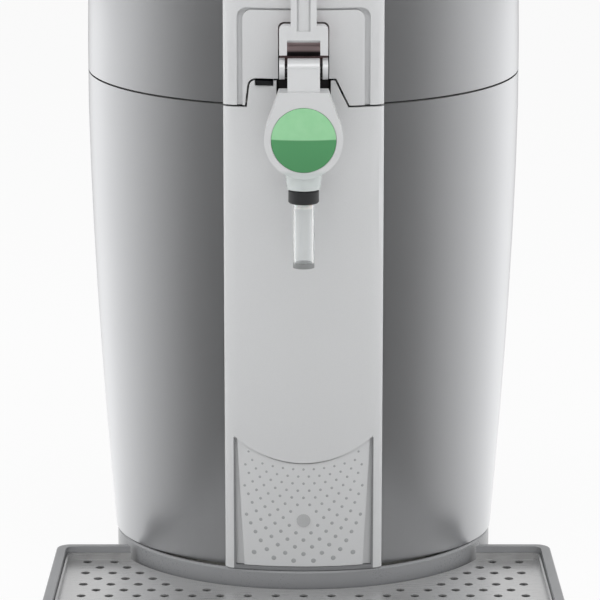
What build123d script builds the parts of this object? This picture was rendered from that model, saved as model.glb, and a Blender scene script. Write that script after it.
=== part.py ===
from build123d import *
import os
from math import cos, sin, sqrt, radians

# Counter-top dispenser for five-litre kegs of beer. Millimetres, +Z up, the front is -Y.
# Pieces are drawn with the axis of the keg chamber at X = 0, Y = 0, and moved by ORIGIN_SHIFT
# when they are written, so that the origin is on the table under the middle of the whole.
ORIGIN_SHIFT = 20.5

# ---- casing: barrel-shaped in front view, D-shaped in plan ----
HALF_WIDTH = 137.6        # widest half width of the casing
WIDEST_Z = 335.0          # height at which it is widest
BASE_HALF_WIDTH = 121.5   # half width at the foot
BASE_Z = 31.0             # height of that half width
BARREL_POWER = 1.6        # how late the sides curve in towards the foot
BAND = 40.0               # height of the ruled bands that make up the barrel
LID_DRAFT = 0.8           # narrowing of the lid's walls below the dome
FRONT_RATIO = 0.9         # depth of the front half ellipse over its half width
REAR_Y = 210.0            # flat back of the casing
REAR_CORNER = 60.0        # radius of the rear corners in plan
SKIN = 2.5                # wall of the moulded shells
SHELL_BOTTOM = 42.0       # lower edge of the shells
SEAM_Z = 343.0            # lid seam above the keg axis
SEAM_TILT = 2.3           # degrees, the seam rises towards the back
SEAM_GAP = 1.2            # open joint between lid and casing
PART_GAP = 0.3            # joint between neighbouring mouldings
REAR_HALF = 70.0          # half width of the rear cover
SCREW_X = 60.0            # screws of the rear cover
SCREW_HEIGHTS = (60.0, 200.0, 330.0)
SCREW_RADIUS = 1.7
SCREW_HEAD = 3.4

# ---- lid dome ----
DOME_START = 407.0        # where the walls turn into the dome
DOME_RISE = 47.0          # height of the dome above that
DOME_INSET = 95.0         # how far the dome runs in over that height
DOME_STEPS = 9            # ruled bands of the dome

# ---- central panel ----
PANEL_HALF = 49.0         # half width of the front panel and of the lid's centre strip
PANEL_PROUD = 8.0         # how far the panel stands off the side shells
BORDER = 3.0              # chamfered border, width
BORDER_DROP = 2.5         # chamfered border, depth
STRIP_TOP_PROUD = 3.0     # how far the lid strip stands off the dome
STRIP_REAR_PROUD = 2.0
TONGUE_TOP = 354.8        # raised part of the panel behind the tap
SPLASH_TOP_HALF = 43.0    # opening for the splash plate, half width at the top and at the foot
SPLASH_LOW_HALF = 42.2
SPLASH_CORNER_Z = 129.0   # upper corners and dip of its smile-shaped edge
SPLASH_DIP_Z = 113.0
LAMP_Z = 75.0
LAMP_RADIUS = 4.2

# ---- foot and tray ----
COLLAR_FRONT = 119.0      # front reach of the base collar
COLLAR_TOP = 41.5
TUB_BOTTOM = 6.0
TUB_FLOOR = 3.0
FOOT_RADIUS = 9.0
FOOT_X = 85.0
FOOT_Y = (-60.0, 170.0)
RUNNER_X = (52.0, 68.0)   # the two runners that carry the tray
TRAY_HALF = 160.8
TRAY_REAR_HALF = 158.3
TRAY_REAR_Y = -51.0
TRAY_FRONT_Y = -265.0
TRAY_WIDEST_Y = -215.0
TRAY_BOTTOM = 1.5
TRAY_TOP = 40.0
TRAY_RIM = 6.0
TRAY_BASIN = 7.5          # height of the basin's floor
TRAY_WALL = 2.2
TRAY_ARC_HALF = 123.0     # arc that the tray and grid keep clear of the casing
TRAY_ARC_FRONT = 125.0
TRAY_ARC_CENTRE = -6.0
GRID_TOP = 32.0
GRID_SHEET = 1.2
GRID_LIP = 4.0            # upturned edge of the grid
HOLE_RADIUS = 3.0
HOLE_SIDES = 8
HOLE_PITCH = 17.3
ROW_PITCH = 12.37
FIRST_ROW_Y = -64.8
HOLE_CLEARANCE = 9.5      # least distance from a hole's centre to the arc

# ---- keg chamber and cooling ----
CUP_RADIUS = 88.0         # clear radius for a keg of 170 mm diameter
CUP_WALL = 1.5
CUP_FLOOR = 45.0
CUP_FLANGE = 6.0
FOAM_RADIUS = 104.0
DECK_Z = 320.0
DECK_WALL = 3.0
CUP_TOP = 331.0
SEAL_HEIGHT = 3.5
COLD_Z = 155.0            # centre of the cooler and its fan
COLD_BOLT = 28.0          # bolts above and below that centre
BOLT_RADIUS = 1.6
SINK_FRONT = 108.0        # face of the heat sink towards the chamber
FAN_HALF = 46.0
FAN_FRONT = 162.0
FAN_BACK = 187.0
FAN_BOLT = 38.0
FAN_BLADES = 7

# ---- electrics at the back ----
INLET_X = -36.0
SWITCH_X = 35.5
SOCKET_Z = 70.0
ROCKER_AXIS = (206.5, 69.0)

# ---- lid hinge ----
HINGE_Y = 218.5
HINGE_Z = 352.5
HINGE_PIN = 2.5
HINGE_HALF = 42.0
KNUCKLE = 5.5
KNUCKLE_WIDTH = 14.0
RUN_FIT = 0.05            # radial clearance of a turning fit

# ---- lid inside ----
LINER_Z = CUP_TOP + 1 + SEAL_HEIGHT + PART_GAP
LINER_WALL = 2.5
LINER_INSET = 7.0
INSULATION = 16.0
LATCH_X = (-29.2, -18.8)  # slot of the latch bar, left of the tap
LATCH_Z = 351.9

# ---- tap ----
ARCH_HALF = 40.5          # arch-shaped groove in the lid strip
ARCH_TOP = 399.1
ARCH_GROOVE = 3.3         # width of the groove's legs
ARCH_GROOVE_TOP = 1.4     # width of the groove over the arch
ARCH_CORNER = 6.0
TAP_OPENING_HALF = 15.5
TAP_OPENING_TOP = 390.6
TAP_CORNER = 3.6
AXLE_Y = -152.0           # common axle of lever and tap head
AXLE_Z = 365.0
AXLE_RADIUS = 2.0
YOKE_HALF = 14.7
EYE_WIDTH = 3.3
EYE_RADIUS = 6.0
WINDOW_TOP = 381.5        # opening in the lever's yoke
LEVER_HALF = 7.75
LEVER_TOP = 468.0
LEVER_FRONT = -155.5
LEVER_THICK = 9.0
TONGUE_HALF = 9.7
TONGUE_BARREL = 6.8
LINE_Z = 350.0
LINE_RADIUS = 3.5
LINE_BORE = 2.4
LINE_BEND = 13.0
SPOUT_Y = -170.0
SPOUT_RADIUS = 6.5
SPOUT_BORE = 5.2
SPOUT_BOTTOM = 247.6
SPOUT_TOP = 290.0
SPOUT_COLLAR_RADIUS = 9.2
SPOUT_COLLAR_BOTTOM = 287.2
SPOUT_COLLAR_TOP = 295.3
NOZZLE_RADIUS = 5.0
NOZZLE_TOP = 334.0
HEAD_Z = 327.0
HEAD_RADIUS = 23.6
HEAD_FRONT = -181.5
HEAD_BACK = -164.0
HEAD_WALL = 2.2
HEAD_FACE = 5.7           # thickness of the head's front
SHOULDER_HALF = 14.8
SHOULDER_TOP = 355.5
BADGE_RADIUS = 19.4
BADGE_SEAT = 3.2          # depth of the badge's seat
BADGE_RISE = 3.2
NECK_TOP = 309.0
NECK_TOP_RADIUS = 11.6
NECK_BOTTOM_RADIUS = 10.1
NECK_BOTTOM = 295.9
NECK_WALL = 1.6
PLUNGER_Y = -142.1
PLUNGER_RADIUS = 2.2
PLUNGER_HEAD = 367.4      # underside of the plunger's cross-head

FAR = 600.0               # reach of the cutting blocks


# ------------------------------------------------------------------ helpers

def block(x0, x1, y0, y1, z0, z1):
    return Pos((x0 + x1) / 2, (y0 + y1) / 2, (z0 + z1) / 2) * Box(x1 - x0, y1 - y0, z1 - z0)


def rod_x(radius, x0, x1, y, z):
    return Pos((x0 + x1) / 2, y, z) * Rot(0, 90, 0) * Cylinder(radius, x1 - x0)


def rod_y(radius, y0, y1, x, z):
    return Pos(x, (y0 + y1) / 2, z) * Rot(90, 0, 0) * Cylinder(radius, y1 - y0)


def rod_z(radius, z0, z1, x=0.0, y=0.0):
    return Pos(x, y, (z0 + z1) / 2) * Cylinder(radius, z1 - z0)


def cone_z(low_radius, high_radius, z0, z1, y):
    return Pos(0, y, (z0 + z1) / 2) * Cone(low_radius, high_radius, z1 - z0)


def front_prism(face, y0, y1):
    """An outline in X and Z, extruded from y0 to y1."""
    return Pos(0, y1, 0) * extrude(Plane.XZ * face, y1 - y0)


def side_prism(points, x0, x1):
    """An outline in Y and Z, extruded from x0 to x1."""
    return Pos(x0, 0, 0) * extrude(Plane.YZ * make_face(Polyline(*points, close=True)), x1 - x0)


def layer(face, z0, z1):
    """An outline in X and Y, extruded from z0 to z1."""
    return Pos(0, 0, z0) * extrude(face, z1 - z0)


def both_sides(solid):
    return solid + mirror(solid, Plane.YZ)


def half_width(z):
    if z > WIDEST_Z:
        return HALF_WIDTH - LID_DRAFT * ((z - WIDEST_Z) / (DOME_START - WIDEST_Z)) ** 2
    drop = (WIDEST_Z - z) / (WIDEST_Z - BASE_Z)
    return HALF_WIDTH - (HALF_WIDTH - BASE_HALF_WIDTH) * drop ** BARREL_POWER


def outline(a, b, rear, corner):
    """D-shaped outline: half an ellipse in front, straight sides, rounded rear corners."""
    line = EllipticalCenterArc((0, 0), a, b, 180, arc_size=180)
    line += Line((a, 0), (a, rear - corner))
    line += CenterArc((a - corner, rear - corner), corner, 0, 90)
    line += Line((a - corner, rear), (corner - a, rear))
    line += CenterArc((corner - a, rear - corner), corner, 90, 90)
    line += Line((-a, rear - corner), (-a, 0))
    return make_face(line)


def plan(z, grow=0.0, rear=None):
    """Outline of the casing or the lid's walls at a height, grown outwards."""
    a = half_width(z)
    rear = grow if rear is None else rear
    return outline(a + grow, a * FRONT_RATIO + grow, REAR_Y + rear, REAR_CORNER + grow)


def heights(z0, z1):
    """Heights of the sections between z0 and z1, on one common division of the barrel."""
    steps = [i * BAND for i in range(1, 12)]
    return [z0] + [z for z in steps if z0 + 4 < z < z1 - 4] + [z1]


def casing(grow, z0, z1):
    """The casing's outer form between two heights, grown outwards by grow."""
    return loft([Pos(0, 0, z) * plan(z, grow) for z in heights(z0, z1)], ruled=True)


def lid_form(side, rear, top):
    """The lid's outer form, walls and dome, grown by side, rear and top."""
    sections = [Pos(0, 0, z) * plan(z, side, rear) for z in (SEAM_Z - 18, SEAM_Z + 17, DOME_START)]
    a = half_width(DOME_START)
    for i in range(1, DOME_STEPS + 1):
        angle = radians(88.0 * i / DOME_STEPS)
        inset = DOME_INSET * (1 - cos(angle))
        section = outline(a + side - inset, a * FRONT_RATIO + side - inset,
                          REAR_Y + rear - inset, REAR_CORNER + side - inset * 0.45)
        sections.append(Pos(0, 0, DOME_START + (DOME_RISE + top) * sin(angle)) * section)
    return loft(sections, ruled=True)


SEAM = Plane(origin=(0, 0, SEAM_Z), x_dir=(1, 0, 0),
             z_dir=(0, -sin(radians(SEAM_TILT)), cos(radians(SEAM_TILT))))


def below_seam(solid):
    return split(solid, bisect_by=SEAM.offset(-SEAM_GAP / 2), keep=Keep.BOTTOM)


def above_seam(solid):
    return split(solid, bisect_by=SEAM.offset(SEAM_GAP / 2), keep=Keep.TOP)


def ellipse_y(x, a, b):
    return -b * sqrt(1 - (x / a) ** 2)


def panel_section(z, half, proud, deeper):
    """Plan of the front panel: curved front, chamfered borders, side walls back to the shells' inside."""
    a = half_width(z) + proud
    b = half_width(z) * FRONT_RATIO + proud
    flat = half - BORDER
    edge_y = ellipse_y(flat, a, b)
    back = ellipse_y(PANEL_HALF, a - proud, b - proud) + SKIN + deeper
    line = ThreePointArc((-flat, edge_y), (0, -b), (flat, edge_y))
    line += Polyline((flat, edge_y), (half, edge_y + BORDER_DROP), (half, back), (-half, back),
                     (-half, edge_y + BORDER_DROP), (-flat, edge_y))
    return Pos(0, 0, z) * make_face(line)


def panel_block(half, proud, deeper, z0, z1):
    return loft([panel_section(z, half, proud, deeper) for z in heights(z0, z1)], ruled=True)


def seam_step(grow=0.0):
    """Outline of the panel below the seam, with the tongue that stands up behind the tap."""
    seam_front = SEAM_Z - half_width(SEAM_Z) * FRONT_RATIO * sin(radians(SEAM_TILT))
    side = PANEL_HALF + 12
    step = make_face(Polyline((-side, 0), (-side, seam_front), (-34.6, seam_front), (-32.6, TONGUE_TOP),
                              (19.0, TONGUE_TOP), (27.2, seam_front), (side, seam_front), (side, 0), close=True))
    corner = step.vertices().sort_by(Axis.Y)[-2:].sort_by(Axis.X)[0]
    step = fillet([corner], 4)
    return offset(step, grow, kind=Kind.INTERSECTION) if grow else step


def arch(half, top, corner, bottom=300.0):
    """Arch-shaped outline of the grooves round the tap."""
    face = make_face(Polyline((-half, bottom), (-half, top), (half, top), (half, bottom), close=True))
    return fillet(face.vertices().sort_by(Axis.Y)[-2:], corner)


def pear(radius, shoulder, top):
    """Front outline of the tap head: a ring with shoulders that run up to the axle."""
    ring = Pos(0, HEAD_Z) * Circle(radius)
    touch_x, touch_z = radius * 0.94, HEAD_Z + radius * 0.35
    shoulders = make_face(Polyline((-shoulder, top), (shoulder, top), (touch_x, touch_z),
                                   (5, HEAD_Z), (-5, HEAD_Z), (-touch_x, touch_z), close=True))
    return ring + shoulders


def tray_outline(inset):
    rear, front = TRAY_REAR_HALF - inset, TRAY_HALF - inset
    y0, y1 = TRAY_REAR_Y - inset, TRAY_FRONT_Y + inset
    turn, draw_in = 12, 4
    line = Polyline((front, TRAY_WIDEST_Y), (rear, y0), (-rear, y0), (-front, TRAY_WIDEST_Y),
                    (-front + draw_in, y1 + turn))
    line += ThreePointArc((-front + draw_in, y1 + turn), (0, y1), (front - draw_in, y1 + turn))
    line += Line((front - draw_in, y1 + turn), (front, TRAY_WIDEST_Y))
    face = make_face(line)
    corners = [v for v in face.vertices() if v.Y > y0 - 1 or v.Y < y1 + turn + 2]
    return fillet(corners, 9 if inset < 1 else 5)


def tray_arc(grow):
    """The bay in the tray that goes round the casing's foot."""
    return Pos(0, TRAY_ARC_CENTRE) * Ellipse(TRAY_ARC_HALF + grow, TRAY_ARC_FRONT + TRAY_ARC_CENTRE + grow)


# ------------------------------------------------------------------ lower casing

def side_shells():
    """Left and right shell, each with a lap behind the rear cover that takes its screws."""
    shell = below_seam(casing(0, SHELL_BOTTOM, SEAM_Z + 20) - casing(-SKIN, SHELL_BOTTOM - 5, SEAM_Z + 25))
    shell -= block(-PANEL_HALF - PART_GAP, PANEL_HALF + PART_GAP, -FAR, 0, 0, FAR)
    shell -= block(-REAR_HALF - PART_GAP, REAR_HALF + PART_GAP, 0, FAR, 0, FAR)
    left = shell & block(-FAR, 0, -FAR, FAR, 0, FAR)
    lap_y = REAR_Y - SKIN - 3.5
    for z0, z1 in ((SHELL_BOTTOM + 6, DECK_Z - 1), (DECK_Z + DECK_WALL + 1.5, SEAM_Z - 5)):
        lap = block(-REAR_HALF - 9, -SCREW_X + 6, lap_y, lap_y + SKIN, z0, z1)
        lap += block(-REAR_HALF - 9, -REAR_HALF - 1, lap_y, REAR_Y, z0, z1)
        left += lap & casing(-0.6, SHELL_BOTTOM, SEAM_Z + 20)
    for z in SCREW_HEIGHTS:
        left += rod_y(3.6, lap_y - 8, lap_y + 1, -SCREW_X, z)
        left -= rod_y(SCREW_RADIUS, lap_y - 9, REAR_Y, -SCREW_X, z)
    return left, mirror(left, Plane.YZ)


def rear_cover():
    form = casing(0, SHELL_BOTTOM, SEAM_Z + 20) - casing(-SKIN, SHELL_BOTTOM - 5, SEAM_Z + 25)
    cover = below_seam(form & block(-REAR_HALF, REAR_HALF, 100, FAR, 0, FAR))
    slots, pitch, slot_half = 9, 10.0, 2.5
    for i in range(slots):
        z = COLD_Z + pitch * (i - (slots - 1) / 2)
        cover -= block(-42, 42, FAN_BACK - 7, FAR, z - slot_half, z + slot_half)
    for x in (-FAN_BOLT, FAN_BOLT):
        for z in (COLD_Z - FAN_BOLT, COLD_Z + FAN_BOLT):
            cover += rod_y(4.5, FAN_BACK, REAR_Y - 1, x, z) - rod_y(BOLT_RADIUS, FAN_BACK - 1, FAN_BACK + 13, x, z)
    cover -= block(INLET_X - 14, INLET_X + 14, 180, FAR, SOCKET_Z - 10, SOCKET_Z + 10)
    cover -= block(SWITCH_X - 11.5, SWITCH_X + 11.5, 180, FAR, SOCKET_Z - 10, SOCKET_Z + 8)
    for x in (12, -12 - KNUCKLE_WIDTH):
        cover += block(x, x + KNUCKLE_WIDTH, REAR_Y - 1, HINGE_Y, HINGE_Z - 16, HINGE_Z - 2)
        cover += rod_x(KNUCKLE, x, x + KNUCKLE_WIDTH, HINGE_Y, HINGE_Z)
        cover -= rod_x(HINGE_PIN, x - 1, x + KNUCKLE_WIDTH + 1, HINGE_Y, HINGE_Z)
    for x in (-SCREW_X, SCREW_X):
        for z in SCREW_HEIGHTS:
            cover -= rod_y(SCREW_RADIUS, REAR_Y - 10, REAR_Y + 10, x, z)
    return cover


def case_screws():
    slot_half, slot_depth, head = 0.5, 1.0, 2.2
    screws = []
    for x in (-SCREW_X, SCREW_X):
        for z in SCREW_HEIGHTS:
            screw = rod_y(SCREW_HEAD, REAR_Y, REAR_Y + head, x, z)
            screw += rod_y(SCREW_RADIUS, REAR_Y - 12, REAR_Y, x, z)
            screws.append(screw - block(x - 2.6, x + 2.6, REAR_Y + head - slot_depth, REAR_Y + head + 1,
                                        z - slot_half, z + slot_half))
    return Part() + screws


def splash_outline(top_half, low_half, rise, bottom):
    """Splash plate outline: smile-shaped top edge, sides that close in towards the foot."""
    corner, dip = SPLASH_CORNER_Z + rise, SPLASH_DIP_Z + rise
    line = Line((-low_half, bottom), (-top_half, corner))
    line += ThreePointArc((-top_half, corner), (0, dip), (top_half, corner))
    line += Polyline((top_half, corner), (low_half, bottom), (-low_half, bottom))
    return make_face(line)


def front_panel():
    foot = 2.2
    panel = panel_block(PANEL_HALF, PANEL_PROUD, 0, SHELL_BOTTOM, SEAM_Z + 15)
    panel &= front_prism(seam_step(), -FAR, 0)
    panel -= panel_block(PANEL_HALF - 1.7, PANEL_PROUD - SKIN, 20, SHELL_BOTTOM + foot, SEAM_Z + 20)
    opening = splash_outline(SPLASH_TOP_HALF, SPLASH_LOW_HALF, 0, SHELL_BOTTOM + foot)
    panel -= front_prism(opening, -FAR, -60)
    panel -= block(-TAP_OPENING_HALF - 1, TAP_OPENING_HALF + 1, -FAR, 0, 333, FAR)
    latch_left, latch_right = LATCH_X
    panel -= block(latch_left - 0.4, latch_right + 0.4, -FAR, 0, LATCH_Z - PART_GAP, FAR)
    panel -= rod_z(FOAM_RADIUS + 0.6, SHELL_BOTTOM - 5, DECK_Z)
    shelf_back = -108.0
    shelf_front = -127.0
    return panel + block(latch_left + 0.1, latch_right - 0.1, shelf_front, shelf_back,
                         LATCH_Z - 3.5, LATCH_Z - PART_GAP)


def splash_plate():
    bottom, top, flange_gap = SHELL_BOTTOM + 2.5, 140, 0.3
    plate = panel_block(PANEL_HALF + 4, PANEL_PROUD - 1.0, 0, SHELL_BOTTOM, top)
    plate &= front_prism(splash_outline(SPLASH_TOP_HALF - 1.6, SPLASH_LOW_HALF - 5.1, -0.8, bottom), -FAR, 0)
    flange = panel_block(PANEL_HALF + 4, PANEL_PROUD - SKIN - flange_gap, 0, SHELL_BOTTOM, top)
    flange &= front_prism(splash_outline(SPLASH_TOP_HALF + 1.2, SPLASH_LOW_HALF + 2.0, 4, bottom), -FAR, 0)
    inside = panel_block(PANEL_HALF + 6, PANEL_PROUD - SKIN - 2.0, 30, SHELL_BOTTOM - 5, top + 10)
    return plate + flange - inside - rod_y(LAMP_RADIUS + 0.05, -FAR, 0, 0, LAMP_Z)


LAMP_FRONT = -(half_width(LAMP_Z) * FRONT_RATIO + PANEL_PROUD - 1.0)


def pilot_lamp_lens():
    flange = rod_y(LAMP_RADIUS + 1.8, LAMP_FRONT + 3.9, LAMP_FRONT + 5.2, 0, LAMP_Z)
    return rod_y(LAMP_RADIUS, LAMP_FRONT - 0.3, LAMP_FRONT + 5, 0, LAMP_Z) + flange


def lamp_board():
    board = block(-11, 11, LAMP_FRONT + 7.0, LAMP_FRONT + 8.6, LAMP_Z - 13, LAMP_Z + 13)
    return board + rod_y(2.4, LAMP_FRONT + 5.2, LAMP_FRONT + 7.0, 0, LAMP_Z)


def base_collar():
    low = 10.0
    outer = layer(outline(BASE_HALF_WIDTH + 0.1, COLLAR_FRONT, REAR_Y, REAR_CORNER), low, COLLAR_TOP)
    outer = chamfer(outer.edges().group_by(Axis.Z)[-1], 1.0)
    collar = outer - layer(outline(BASE_HALF_WIDTH - SKIN, COLLAR_FRONT - SKIN, REAR_Y - SKIN,
                                   REAR_CORNER - SKIN), low - 1, FAR)
    for side in (-1, 1):
        x0, x1 = sorted(side * (x + d) for x, d in zip(RUNNER_X, (-2, 2)))
        collar -= block(x0, x1, -FAR, 0, 0, low + 2)
    return collar


def base_tub():
    inset = SKIN + PART_GAP
    wall = inset + 2.2
    runner_front, runner_back, runner_z, tongue_z = -190.0, -80.0, 3.2, 5.2
    shell = layer(outline(BASE_HALF_WIDTH - inset, COLLAR_FRONT - inset, REAR_Y - inset, REAR_CORNER - inset),
                  TUB_BOTTOM, TUB_BOTTOM + 26)
    tub = shell - layer(outline(BASE_HALF_WIDTH - wall, COLLAR_FRONT - wall, REAR_Y - wall, REAR_CORNER - wall),
                        TUB_BOTTOM + TUB_FLOOR, FAR)
    for side in (-1, 1):
        x0, x1 = sorted(side * x for x in RUNNER_X)
        runner = block(x0, x1, runner_front, runner_back, runner_z, TUB_BOTTOM + 0.5)
        tub += runner - block(x0, x1, runner_front - 1, -97, tongue_z, 9)
        tub -= block(x0 - 0.5, x1 + 0.5, -130, -97, tongue_z, 9)
        for y in FOOT_Y:
            tub -= rod_z(4.0, 0, 12, side * FOOT_X, y)
    return tub


def feet():
    group = []
    for x in (-FOOT_X, FOOT_X):
        for y in FOOT_Y:
            foot = rod_z(FOOT_RADIUS, 0, TUB_BOTTOM, x, y) + rod_z(3.9, TUB_BOTTOM, TUB_BOTTOM + TUB_FLOOR, x, y)
            group.append(chamfer(foot.edges().group_by(Axis.Z)[0], 1.0))
    return Part() + group


# ------------------------------------------------------------------ keg chamber and cooling

def foam_jacket():
    foam = rod_z(FOAM_RADIUS, TUB_BOTTOM + TUB_FLOOR, DECK_Z)
    foam -= rod_z(CUP_RADIUS + CUP_WALL, CUP_FLOOR - CUP_WALL, DECK_Z + 1)
    foam -= block(-31, 31, 60, 120, COLD_Z - 36, COLD_Z + 36)
    return foam - rod_z(4.2, 36, CUP_FLOOR, 30, 0)


def cooling_cup():
    wall = CUP_RADIUS + CUP_WALL
    cup = rod_z(wall, CUP_FLOOR - CUP_WALL, CUP_TOP + 1) + rod_z(CUP_RADIUS + CUP_FLANGE, CUP_TOP, CUP_TOP + 1)
    cup = chamfer(cup.edges().filter_by(GeomType.CIRCLE).sort_by(Axis.Z)[0], 1.5)
    return cup - rod_z(CUP_RADIUS, CUP_FLOOR, CUP_TOP + 5)


def temperature_sensor():
    return rod_z(4.0, 37, CUP_FLOOR - CUP_WALL, 30, 0)


def chamber_deck():
    z = DECK_Z + DECK_WALL
    deck = layer(plan(DECK_Z, -SKIN - 0.8, -SKIN - 0.5), DECK_Z, z)
    deck += rod_z(CUP_RADIUS + CUP_FLANGE, z, CUP_TOP)
    return deck - rod_z(CUP_RADIUS + CUP_WALL, DECK_Z - 1, CUP_TOP + 1)


def chamber_seal():
    z = CUP_TOP + 1
    seal = rod_z(CUP_RADIUS + 5.5, z, z + SEAL_HEIGHT) - rod_z(CUP_RADIUS + 0.5, z - 1, z + 9)
    return chamfer(seal.edges().group_by(Axis.Z)[-1], 1.5)


def cold_block():
    saddle = block(-30, 30, 60, 104, COLD_Z - 35, COLD_Z + 35) - rod_z(CUP_RADIUS + CUP_WALL, 100, 200)
    for z in (COLD_Z - COLD_BOLT, COLD_Z + COLD_BOLT):
        saddle -= rod_y(BOLT_RADIUS, 92, 110, 0, z)
    return saddle


def thermoelectric_module():
    return block(-20, 20, SINK_FRONT - 4, SINK_FRONT, COLD_Z - 20, COLD_Z + 20)


def heat_sink():
    fins, pitch, fin_half, fin_back, plate = 10, 9.6, 0.8, FAN_FRONT - 2, 5.0
    z0, z1 = COLD_Z - FAN_HALF, COLD_Z + FAN_HALF
    sink = block(-FAN_HALF, FAN_HALF, SINK_FRONT, SINK_FRONT + plate, z0, z1)
    for i in range(fins):
        x = pitch * (i - (fins - 1) / 2)
        sink += block(x - fin_half, x + fin_half, SINK_FRONT + plate - 1, fin_back, z0, z1)
    for z in (COLD_Z - COLD_BOLT, COLD_Z + COLD_BOLT):
        sink -= rod_y(BOLT_RADIUS, SINK_FRONT - 3, SINK_FRONT + plate + 5, 0, z)
    return sink


def sink_screws():
    head_y = SINK_FRONT + 5
    return Part() + [
        rod_y(BOLT_RADIUS, 94, head_y, 0, z) + rod_y(3.0, head_y, head_y + 2.5, 0, z)
        for z in (COLD_Z - COLD_BOLT, COLD_Z + COLD_BOLT)]


def fan_frame():
    duct, hub, arm_half, arm = 43.5, 17.0, 2.0, 3.0
    frame = block(-FAN_HALF, FAN_HALF, FAN_FRONT, FAN_BACK, COLD_Z - FAN_HALF, COLD_Z + FAN_HALF)
    frame = fillet(frame.edges().filter_by(Axis.Y), 4)
    frame -= rod_y(duct, FAN_FRONT - 1, FAN_BACK + 1, 0, COLD_Z)
    for angle in (30, 150, 270):
        strut = block(0, duct + 1.5, FAN_BACK - arm, FAN_BACK, -arm_half, arm_half)
        frame += Pos(0, 0, COLD_Z) * Rot(0, angle, 0) * strut
    frame += rod_y(hub, FAN_BACK - arm, FAN_BACK, 0, COLD_Z)
    frame -= rod_y(1.5 + RUN_FIT, FAN_BACK - 5, FAN_BACK + 1, 0, COLD_Z)
    for x in (-FAN_BOLT, FAN_BOLT):
        for z in (COLD_Z - FAN_BOLT, COLD_Z + FAN_BOLT):
            frame -= rod_y(BOLT_RADIUS, FAN_FRONT - 1, FAN_BACK + 1, x, z)
    return frame


def fan_rotor():
    hub_front, hub_back, pitch_angle = FAN_FRONT + 4, FAN_BACK - 3.5, 35
    rotor = rod_y(16, hub_front, hub_back, 0, 0) + rod_y(1.5, hub_back - 0.5, FAN_BACK - 0.5, 0, 0)
    for i in range(FAN_BLADES):
        blade = Pos(28.5, FAN_FRONT + 12, 0) * Rot(pitch_angle, 0, 0) * Box(26.5, 16, 1.4)
        rotor += Rot(0, 360 / FAN_BLADES * i, 0) * blade
    return Pos(0, 0, COLD_Z) * rotor


# ------------------------------------------------------------------ electrics

def power_supply():
    floor = TUB_BOTTOM + TUB_FLOOR
    box = fillet(block(-105, -62, 108, 162, floor, 84).edges().filter_by(Axis.Z), 3)
    return box + block(-98, -70, 118, 152, 84, 90)


def control_board():
    floor = TUB_BOTTOM + TUB_FLOOR
    board = block(70, 71.6, 108, 166, floor, 95)
    board += block(60, 70, 118, 134, 20, 44) + block(64, 70, 116, 150, 66, 84)
    for z in (30, 50):
        board += rod_x(6, 58, 70, 150, z)
    return board


def power_inlet():
    flange_back = REAR_Y + 1.8
    body = block(INLET_X - 13.7, INLET_X + 13.7, 190, REAR_Y, SOCKET_Z - 9.7, SOCKET_Z + 9.7)
    body += block(INLET_X - 16, INLET_X + 16, REAR_Y, flange_back, SOCKET_Z - 13, SOCKET_Z + 13)
    body -= block(INLET_X - 9, INLET_X + 9, 195, FAR, SOCKET_Z - 6, SOCKET_Z + 6)
    for x in (INLET_X - 4.3, INLET_X + 4.3):
        body += rod_y(1.25, 194, 204, x, SOCKET_Z)
    return body


def switch_frame():
    axis_y, axis_z = ROCKER_AXIS
    body = block(SWITCH_X - 11.2, SWITCH_X + 11.2, 196, REAR_Y, SOCKET_Z - 9.7, SOCKET_Z + 7.7)
    body += block(SWITCH_X - 13.5, SWITCH_X + 13.5, REAR_Y, REAR_Y + 1.6, SOCKET_Z - 12, SOCKET_Z + 10)
    body -= block(SWITCH_X - 8.5, SWITCH_X + 8.5, 198, FAR, SOCKET_Z - 7.5, SOCKET_Z + 5.5)
    return body - rod_x(1.2 + RUN_FIT, SWITCH_X - 10.3, SWITCH_X + 10.3, axis_y, axis_z)


def power_rocker():
    axis_y, axis_z = ROCKER_AXIS
    profile = ((202, 66.2), (210.5, 64.2), (213.8, 64.2), (211.6, 69), (211.2, 74.6), (209.3, 74.6), (202, 71.8))
    pivots = rod_x(1.2, SWITCH_X - 10, SWITCH_X + 10, axis_y, axis_z)
    return side_prism(profile, SWITCH_X - 8, SWITCH_X + 8) + pivots


# ------------------------------------------------------------------ hinge and lid

def hinge_pin():
    return rod_x(HINGE_PIN, -HINGE_HALF, HINGE_HALF, HINGE_Y, HINGE_Z)


def lid_shells():
    shell = above_seam(lid_form(0, 0, 0) - lid_form(-SKIN, -SKIN, -SKIN))
    shell -= block(-PANEL_HALF - PART_GAP, PANEL_HALF + PART_GAP, -FAR, FAR, 0, FAR)
    left = shell & block(-FAR, 0, -FAR, FAR, 0, FAR)
    return left, mirror(left, Plane.YZ)


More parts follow.
